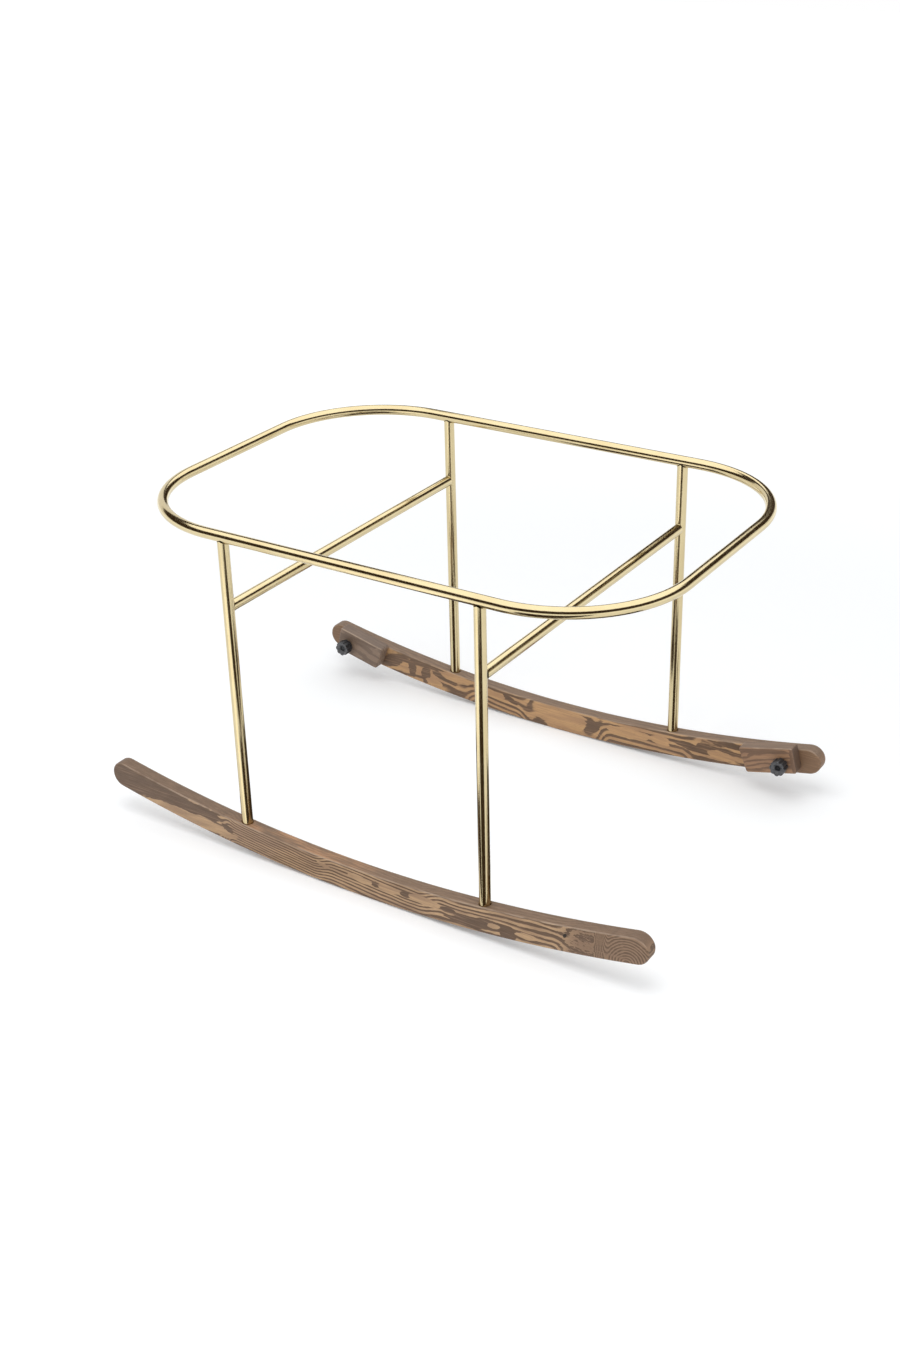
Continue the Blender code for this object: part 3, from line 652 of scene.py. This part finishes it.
def build_legs():
    """Four legs, shaped part of the way round the ring and welded to it."""
    for place in PLACES:
        low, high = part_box("leg_" + place)
        spot = middle("leg_" + place)
        name = "leg_tube_" + place
        mesh = flat_tube(name, low[2], high[2], high_cope=LEG_COPES[place])
        leg = new_piece(name, mesh, GOLD, Matrix.Translation((spot.x, spot.y, 0)))
        dress(leg, "gold_tube", "leg_" + place)
        weld_beads("ring_weld_" + place, Matrix.Translation((spot.x, spot.y, RING_HEIGHT)))


def build_bars():
    """Two cross bars, shaped in front part of the way round their legs, cut flat behind, and welded."""
    for _, side in SIDES:
        low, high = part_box("cross_bar_" + side)
        spot = middle("cross_bar_" + side)
        name = "bar_tube_" + side
        # Local z runs along the bar and local x down, along the legs
        turn = Matrix(((0, -1, 0), (0, 0, 1), (-1, 0, 0))).to_4x4()
        half = (high[1] - low[1]) / 2
        mesh = flat_tube(name, -half, half, low_cope=BAR_COPES[side])
        bar = new_piece(name, mesh, GOLD, Matrix.Translation(spot) @ turn)
        dress(bar, "gold_tube", "cross_bar_" + side)
        for end, row in ((-1, "front"), (1, "rear")):
            flip = Matrix.Rotation(0.0 if end > 0 else math.pi, 4, "X")
            at = Matrix.Translation((spot.x, end * RING_HALF_WIDTH, spot.z)) @ turn @ flip
            weld_beads(f"bar_weld_{row}_{side}", at)


# Wooden pieces

def slab(name, outline, thickness, edge):
    """Board between y = -thickness / 2 and + thickness / 2, from (point, outward) pairs in x and z."""
    rows = []
    for face in (-1, 1):
        steps = range(EDGE_STEPS + 1) if face < 0 else range(EDGE_STEPS, -1, -1)
        for step in steps:
            angle = math.pi / 2 * step / EDGE_STEPS
            inset = edge * (1 - math.sin(angle))
            y = face * (thickness / 2 - edge * (1 - math.cos(angle)))
            rows.append([Vector((p[0] - n[0] * inset, y, p[1] - n[1] * inset)) for p, n in outline])
    return skin(name, rows, cap=True)


def arc_rise(x):
    """Height of the rocker's circle at x above its lowest point."""
    return ROCKER_RADIUS - math.sqrt(ROCKER_RADIUS ** 2 - x ** 2)


def rocker_outline():
    """Side view of a rocker: two arcs and two round ends, as (point, outward) pairs."""
    slope = math.asin((ROCKER_HALF_LENGTH - ROCKER_HEIGHT / 2) / ROCKER_RADIUS)
    end_radius = ROCKER_HEIGHT / 2 * math.cos(slope)
    end_x = ROCKER_HALF_LENGTH - end_radius
    end_z = arc_rise(end_x) + ROCKER_HEIGHT / 2
    reach = end_radius * math.sin(slope)
    outline = []
    for step in range(ROCKER_STEPS + 1):
        x = (end_x + reach) * (2 * step / ROCKER_STEPS - 1)
        lean = math.asin(x / ROCKER_RADIUS)
        outline.append(((x, arc_rise(x)), (math.sin(lean), -math.cos(lean))))
    right = []
    for step in range(1, ROCKER_END_STEPS):
        angle = slope - math.pi / 2 + math.pi * step / ROCKER_END_STEPS
        outward = (math.cos(angle), math.sin(angle))
        right.append(((end_x + end_radius * outward[0], end_z + end_radius * outward[1]), outward))
    outline += right
    for step in range(ROCKER_STEPS + 1):
        x = (end_x - reach) * (1 - 2 * step / ROCKER_STEPS)
        lean = math.asin(x / ROCKER_RADIUS)
        outline.append(((x, arc_rise(x) + ROCKER_HEIGHT), (-math.sin(lean), math.cos(lean))))
    outline += [((-p[0], p[1]), (-n[0], n[1])) for p, n in reversed(right)]
    return outline


def socket_cutters(x):
    """A leg's socket, the countersink at its rim, and the bolt's hole and recess from below."""
    radius = TUBE_RADIUS + LEG_SOCKET_CLEARANCE
    top = arc_rise(x) + ROCKER_HEIGHT
    bolt_low, bolt_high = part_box("leg_bolt_front_left")
    hole = LEG_BOLT_RADIUS + GAP
    recess = (bolt_high[0] - bolt_low[0]) / 2 + LEG_BOLT_RECESS_CLEARANCE
    roof = bolt_low[2] + LEG_BOLT_HEAD_HEIGHT + GAP
    floor = LEG_FOOT - GAP
    profile = [(0, top + PASS), (radius, top + PASS), (radius, floor), (hole, floor),
               (hole, roof), (recess, roof), (recess, -PASS), (0, -PASS)]
    lean = math.asin(x / ROCKER_RADIUS)
    flare = radius + SOCKET_CHAMFER
    rim = [(0, COUNTERSINK_ABOVE), (flare + COUNTERSINK_ABOVE, COUNTERSINK_ABOVE),
           (flare - COUNTERSINK_BELOW, -COUNTERSINK_BELOW), (0, -COUNTERSINK_BELOW)]
    tilt = Matrix.Translation((x, 0, top)) @ Matrix.Rotation(-lean, 4, "Y")
    return [(turned("socket", profile), Matrix.Translation((x, 0, 0))), (turned("rim", rim), tilt)]


def build_rockers():
    """Two curved boards with soft edges, sockets for the legs and pockets for the stops' inserts."""
    insert_low, insert_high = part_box("rocker_insert_right")
    pocket_radius = (insert_high[0] - insert_low[0]) / 2 + GAP
    pocket_depth = insert_high[1] - insert_low[1] + 2 * GAP
    for row, wood in (("front", FRONT_WOOD), ("rear", REAR_WOOD)):
        spot = middle("rocker_" + row)
        mesh = slab("rocker_board_" + row, rocker_outline(), ROCKER_THICKNESS, ROCKER_EDGE_RADIUS)
        cutters = []
        for side, _ in SIDES:
            cutters += socket_cutters(side * middle("leg_front_right").x)
            if row == "rear":
                at = Matrix.Translation((side * STOP_PIVOT.x, -ROCKER_THICKNESS / 2, STOP_PIVOT.z))
                cutters.append((drill("pocket", pocket_radius, PASS, -pocket_depth), at @ TOWARDS_FRONT))
        mesh = smooth(carve(mesh, cutters))
        board = new_piece("rocker_board_" + row, mesh, wood, Matrix.Translation((0, spot.y, 0)))
        even_normals(board)
        dress(board, "smoked_wood", "rocker_" + row)


def rounded_outline(corners, radius):
    """Outline of (point, outward) pairs round straight-sided corners, given anticlockwise."""
    outline = []
    for i, corner in enumerate(corners):
        here = Vector(corner)
        before = (Vector(corners[i - 1]) - here).normalized()
        after = (Vector(corners[(i + 1) % len(corners)]) - here).normalized()
        half = before.angle(after) / 2
        centre = here + (before + after).normalized() * radius / math.sin(half)
        start = (here + before * radius / math.tan(half) - centre).normalized()
        sweep = math.pi - 2 * half
        for step in range(STOP_CORNER_STEPS + 1):
            angle = sweep * step / STOP_CORNER_STEPS
            outward = Vector((start.x * math.cos(angle) - start.y * math.sin(angle),
                              start.x * math.sin(angle) + start.y * math.cos(angle)))
            outline.append((tuple(centre + outward * radius), tuple(outward)))
    return outline


def stop_corners(side):
    """Corners of a stop about its pivot, lying level, anticlockwise in x and z."""
    top = STOP_PIVOT_OFFSET + STOP_HEIGHT / 2
    bottom = STOP_PIVOT_OFFSET - STOP_HEIGHT / 2
    reach = STOP_PIVOT.z - STOP_FLOOR_CLEARANCE
    top_length = (reach + top * math.sin(STOP_RAKE)) / math.cos(STOP_RAKE)
    bottom_length = (reach + bottom * math.sin(STOP_RAKE)) / math.cos(STOP_RAKE)
    corners = [(-side * top_length, top), (-side * bottom_length, bottom),
               (side * STOP_TAIL, bottom), (side * STOP_TAIL, top)]
    return corners if side > 0 else corners[::-1]


def build_stops():
    """Two wooden stops on the rear rocker."""
    for side, side_name in SIDES:
        name = "stop_block_" + side_name
        low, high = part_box("stop_" + side_name)
        outline = rounded_outline(stop_corners(side), STOP_CORNER_RADIUS)
        mesh = slab(name, outline, high[1] - low[1], STOP_EDGE_RADIUS)
        hole = drill("stud_hole", STUD_RADIUS + GAP, 2 * PASS, -2 * PASS)
        mesh = smooth(carve(mesh, [(hole, TOWARDS_FRONT)]))
        at = Matrix.Translation((side * STOP_PIVOT.x, (low[1] + high[1]) / 2, STOP_PIVOT.z))
        stop = new_piece(name, mesh, STOP_WOODS[side_name], at @ Matrix.Rotation(-side * STOP_TILT, 4, "Y"))
        even_normals(stop)
        dress(stop, "stop_wood", "stop_" + side_name)


# Knobs

def knob_profile(length):
    """Knob from the hub's back to the eye: (radius, height, share of the lobes)."""
    edge = KNOB_EDGE_RADIUS
    dish = KNOB_RADIUS - KNOB_LOBE_DEPTH - KNOB_RIM
    floor = length - KNOB_DISH_DEPTH
    chamfer = KNOB_RIM_CHAMFER
    points = [(0, 0, 0), (KNOB_HUB_RADIUS - KNOB_HUB_CHAMFER, 0, 0), (KNOB_HUB_RADIUS, KNOB_HUB_CHAMFER, 0),
              (KNOB_HUB_RADIUS, KNOB_HUB_LENGTH - KNOB_HUB_FILLET, 0),
              (KNOB_HUB_RADIUS + KNOB_HUB_FILLET, KNOB_HUB_LENGTH, 0)]
    for level, start in ((KNOB_HUB_LENGTH + edge, -math.pi / 2), (length - edge, 0.0)):
        for step in range(EDGE_STEPS + 1):
            angle = start + math.pi / 2 * step / EDGE_STEPS
            points.append((KNOB_RADIUS - edge + edge * math.cos(angle), level + edge * math.sin(angle), 1))
    points += [(dish + chamfer, length, 0), (dish - chamfer, length - chamfer, 0),
               (KNOB_EYE_RADIUS + chamfer, floor + chamfer / 2, 0), (KNOB_EYE_RADIUS, floor - chamfer, 0),
               (KNOB_EYE_RADIUS, floor - KNOB_EYE_DEPTH, 0), (0, floor - KNOB_EYE_DEPTH, 0)]
    return points


def build_knobs():
    """Two lobed knobs with a dished face and a deeper eye."""
    for side, side_name in SIDES:
        low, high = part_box("knob_" + side_name)
        rows = []
        count = KNOB_LOBES * KNOB_STEPS
        for radius, height, lobed in knob_profile(high[1] - low[1]):
            row = []
            for i in range(count):
                angle = 2 * math.pi * i / count
                groove = ((1 - math.cos(KNOB_LOBES * angle)) / 2) ** 2
                here = radius - lobed * KNOB_LOBE_DEPTH * groove
                row.append(Vector((here * math.cos(angle), here * math.sin(angle), height)))
            rows.append(row)
        name = "knob_grip_" + side_name
        at = Matrix.Translation((side * STOP_PIVOT.x, high[1], STOP_PIVOT.z))
        knob = new_piece(name, smooth(skin(name, rows)), PLASTIC, at @ TOWARDS_FRONT)
        dress(knob, "knob_plastic", "knob_" + side_name)


def dress_fixings():
    """Finishes of the hidden fixings, which keep their own solids."""
    for name, obj in frame["nodes"].items():
        if name.startswith(("leg_plug", "leg_bolt", "stud")):
            obj.data.materials.clear()
            obj.data.materials.append(ZINC)
        elif "insert" in name:
            obj.data.materials.clear()
            obj.data.materials.append(BRASS)


# Studio: white floor and surroundings, one large soft lamp, and a dark wall, a bright ceiling and
# sheets on the floor that only reflections see

SOFTBOX_LOW = Vector((-0.75, -1.50, 2.10))
SOFTBOX_HIGH = Vector((1.00, -0.15, 2.10))
SOFTBOX_RADIANCE = 2.5
WORLD_STRENGTH = 0.80
FLOOR_HALF = 9.0
FLOOR_TONE, FLOOR_ROUGHNESS = (0.92, 0.93, 0.94), 0.9
# The floor's own glow near the stand and far from it, and the distances between which it grows
NEAR_GLOW, FAR_GLOW = 0.12, 0.55
GLOW_NEAR, GLOW_FAR = 0.8, 3.0
FLOOR_GLOW_TONE = (0.92, 0.96, 1.0)
CEILING_RADIANCE = 1.55
WALL_TONE = (0.035, 0.018, 0.006)
DOME_RADIUS = 3.4
DOME_CENTRE = Vector((0, 0, 0.45))
# Azimuth, and the elevations of the dark wall's lower and upper border, in degrees
WALL_BORDERS = (
    (-180, 10, 40), (-165, 4, 36), (-150, -2, 34), (-130, -5, 34), (-110, -4, 36), (-80, 0, 42),
    (-60, 2, 42), (-30, 2, 40), (0, 2, 36), (25, 4, 33), (45, 8, 34), (59, 10, 36), (65, 10, 40),
    (71, 9, 38), (77, 7, 33), (84, 5, 31), (95, 4, 30.5), (104, 3, 30), (115, 2, 26), (124, 2, 25),
    (128, 10, 30), (132, 22, 38), (140, 28, 46), (150, 30, 51), (158, 28, 48), (166, 20, 42), (180, 10, 40))
DOME_STEPS = 120
CEILING_STEPS = 6
SHEET_THICKNESS = 0.0003
# Sheets on the floor in front of the stand, a dark one and, left of it, a bright one. Dark wedges open away
# from a leg's foot: the distances from it where a wedge begins and ends, and its two azimuths in degrees
DARK_SHEET = ((0.19, -0.33), (0.09, -0.62), (0.05, -0.80), (0.07, -1.30), (1.70, -1.30), (0.26, -0.33))
DARK_WEDGES = {"front_left": (0.05, 0.38, -68, -12), "rear_left": (0.05, 0.56, -107, -45),
               "rear_right": (0.05, 0.56, -88, -35)}
BRIGHT_SHEET = ((-0.16, -0.33), (-0.16, -0.66), (-0.04, -0.75), (-0.04, -1.30), (-1.00, -1.30))
CAMERA_PLACE = (1.26396, -1.94364, 1.40928)
CAMERA_YAW, CAMERA_PITCH, CAMERA_ROLL = 0.58696, 0.47423, -0.0268
CAMERA_SENSOR, CAMERA_LENS = 36.0, 47.44
CAMERA_CLIP = (0.05, 60.0)


def reflected_only(obj):
    """Mark a stage object that only mirror-like reflections see."""
    obj.visible_camera = False
    obj.visible_diffuse = False
    obj.visible_transmission = False
    obj.visible_volume_scatter = False
    obj.visible_shadow = False


def seen_directly(graph):
    """1 for what the camera, a mirror or glass sees, and 0 for the light that falls on the stand."""
    path = graph.node("LightPath", {}).outputs
    either = graph.math("MAXIMUM", path["Is Camera Ray"], path["Is Glossy Ray"])
    return graph.math("MAXIMUM", either, path["Is Transmission Ray"])


def studio_floor():
    """White floor, which shows the stand's shadow."""
    mesh = bpy.data.meshes.new("studio_floor")
    half = FLOOR_HALF
    corners = [(-half, -half, 0), (half, -half, 0), (half, half, 0), (-half, half, 0)]
    mesh.from_pydata(corners, [], [range(len(corners))])
    graph = Surface("studio_white")
    distance = graph.node("VectorMath", {0: graph.node("TexCoord", {}).outputs["Object"]},
                          operation="LENGTH").outputs["Value"]
    glow = graph.spread(distance, GLOW_NEAR, GLOW_FAR, NEAR_GLOW, FAR_GLOW)
    glow = graph.math("MULTIPLY", seen_directly(graph), glow)
    white = graph.finish(Base_Color=FLOOR_TONE, Roughness=FLOOR_ROUGHNESS, Emission_Color=FLOOR_GLOW_TONE,
                         Emission_Strength=glow)
    graph.shader.inputs["Specular IOR Level"].default_value = 0.0
    new_piece("studio_floor", mesh, white)


def wall_borders(azimuth):
    """Elevations of the dark wall's lower and upper border at an azimuth, in degrees."""
    for (start, *first), (end, *last) in zip(WALL_BORDERS, WALL_BORDERS[1:]):
        if azimuth <= end:
            break
    share = (azimuth - start) / (end - start)
    return [a + (b - a) * share for a, b in zip(first, last)]


def dome_rows(levels):
    """Rows of points on the studio's dome, from a function that gives the elevations at an azimuth."""
    columns = []
    for step in range(DOME_STEPS):
        azimuth = -180 + 360 * step / DOME_STEPS
        turn = math.radians(azimuth)
        column = []
        for elevation in levels(azimuth):
            rise = math.radians(elevation)
            flat = math.cos(rise)
            direction = Vector((flat * math.cos(turn), flat * math.sin(turn), math.sin(rise)))
            column.append(DOME_RADIUS * direction)
        columns.append(column)
    return [list(row) for row in zip(*columns)]


def studio_dome(dark, bright):
    """Dark wall round the studio, and a bright ceiling above it."""
    at = Matrix.Translation(DOME_CENTRE)
    wall = skin("studio_wall", dome_rows(wall_borders))
    reflected_only(new_piece("studio_wall", wall, dark, at))

    def ceiling_levels(azimuth):
        start = wall_borders(azimuth)[1]
        return [start + (90 - start) * step / CEILING_STEPS for step in range(CEILING_STEPS + 1)]

    ceiling = skin("studio_ceiling", dome_rows(ceiling_levels))
    reflected_only(new_piece("studio_ceiling", ceiling, bright, at))


def floor_sheets(name, outlines, wedges, material):
    """Sheets on the studio floor: given outlines, and wedges that open away from a leg's foot."""
    outlines = list(outlines)
    for place, (near, far, first, last) in wedges.items():
        spot = middle("leg_" + place)
        corners = ((near, first), (near, last), (far, last), (far, (first + last) / 2), (far, first))
        outline = []
        for reach, azimuth in corners:
            turn = math.radians(azimuth)
            outline.append((spot.x + reach * math.cos(turn), spot.y + reach * math.sin(turn)))
        outlines.append(outline)
    points, faces = [], []
    for layer, outline in enumerate(outlines, 1):
        start = len(points)
        points += [(x, y, layer * SHEET_THICKNESS) for x, y in outline]
        faces.append(range(start, len(points)))
    mesh = bpy.data.meshes.new(name)
    mesh.from_pydata(points, [], faces)
    reflected_only(new_piece(name, mesh, material))


def softbox():
    """Large soft lamp above and in front of the stand."""
    light = bpy.data.lights.new("softbox", "AREA")
    light.shape = "RECTANGLE"
    light.size = SOFTBOX_HIGH.x - SOFTBOX_LOW.x
    light.size_y = SOFTBOX_HIGH.y - SOFTBOX_LOW.y
    light.energy = SOFTBOX_RADIANCE * math.pi * light.size * light.size_y
    lamp = bpy.data.objects.new("softbox", light)
    lamp.location = (SOFTBOX_LOW + SOFTBOX_HIGH) / 2
    lamp.visible_camera = False
    lamp.visible_glossy = False
    bpy.context.scene.collection.objects.link(lamp)


def studio_world():
    """White surroundings for the camera, and a soft even light for the stand."""
    world = bpy.data.worlds.new("studio")
    world.use_nodes = True
    bpy.context.scene.world = world
    graph = Graph(world.node_tree)
    background = graph.tree.nodes["Background"]
    background.inputs["Color"].default_value = (1, 1, 1, 1)
    strength = graph.spread(seen_directly(graph), 0.0, 1.0, WORLD_STRENGTH, 1.0)
    graph.feed(background.inputs["Strength"], strength)


def studio_camera():
    """Camera solved from the photograph: it looks down at the stand from the front right."""
    yaw, pitch, roll = CAMERA_YAW, CAMERA_PITCH, CAMERA_ROLL
    data = bpy.data.cameras.new("camera")
    data.sensor_width = CAMERA_SENSOR
    data.lens = CAMERA_LENS
    data.clip_start, data.clip_end = CAMERA_CLIP
    forward = Vector((-math.sin(yaw) * math.cos(pitch), math.cos(yaw) * math.cos(pitch), -math.sin(pitch)))
    across = forward.cross(Vector((0, 0, 1))).normalized()
    above = across.cross(forward)
    right = math.cos(roll) * across + math.sin(roll) * above
    up = math.cos(roll) * above - math.sin(roll) * across
    camera = bpy.data.objects.new("camera", data)
    turn = Matrix((right, up, -forward)).transposed().to_4x4()
    camera.matrix_world = Matrix.Translation(CAMERA_PLACE) @ turn
    bpy.context.scene.collection.objects.link(camera)
    bpy.context.scene.camera = camera


GOLD = gold_material()
FRONT_WOOD = wood_material("smoked_wood_front", FRONT_TONES, FRONT_FIGURE)
REAR_WOOD = wood_material("smoked_wood_rear", REAR_TONES, REAR_FIGURE)
STOP_WOODS = {"left": wood_material("stop_wood_left", LEFT_STOP_TONES, LEFT_STOP_FIGURE),
              "right": wood_material("stop_wood_right", RIGHT_STOP_TONES, RIGHT_STOP_FIGURE)}
PLASTIC = plastic_material()
ZINC = plated_material("zinc_plate", ZINC_TONE, ZINC_ROUGHNESS)
BRASS = plated_material("turned_brass", BRASS_TONE, BRASS_ROUGHNESS)

build_ring()
build_legs()
build_bars()
build_rockers()
build_stops()
build_knobs()
dress_fixings()

studio_floor()
studio_world()
BLACK = Surface("studio_black").finish(Base_Color=(0.0, 0.0, 0.0), Roughness=1.0, Emission_Color=WALL_TONE,
                                       Emission_Strength=1.0)
BRIGHT = Surface("studio_bright").finish(Base_Color=(0.0, 0.0, 0.0), Emission_Color=(1.0, 1.0, 1.0),
                                         Emission_Strength=CEILING_RADIANCE)
studio_dome(BLACK, BRIGHT)
floor_sheets("studio_dark_sheets", (DARK_SHEET,), DARK_WEDGES, BLACK)
floor_sheets("studio_bright_sheet", (BRIGHT_SHEET,), {}, BRIGHT)
softbox()
studio_camera()

bpy.context.scene.view_settings.view_transform = "Standard"
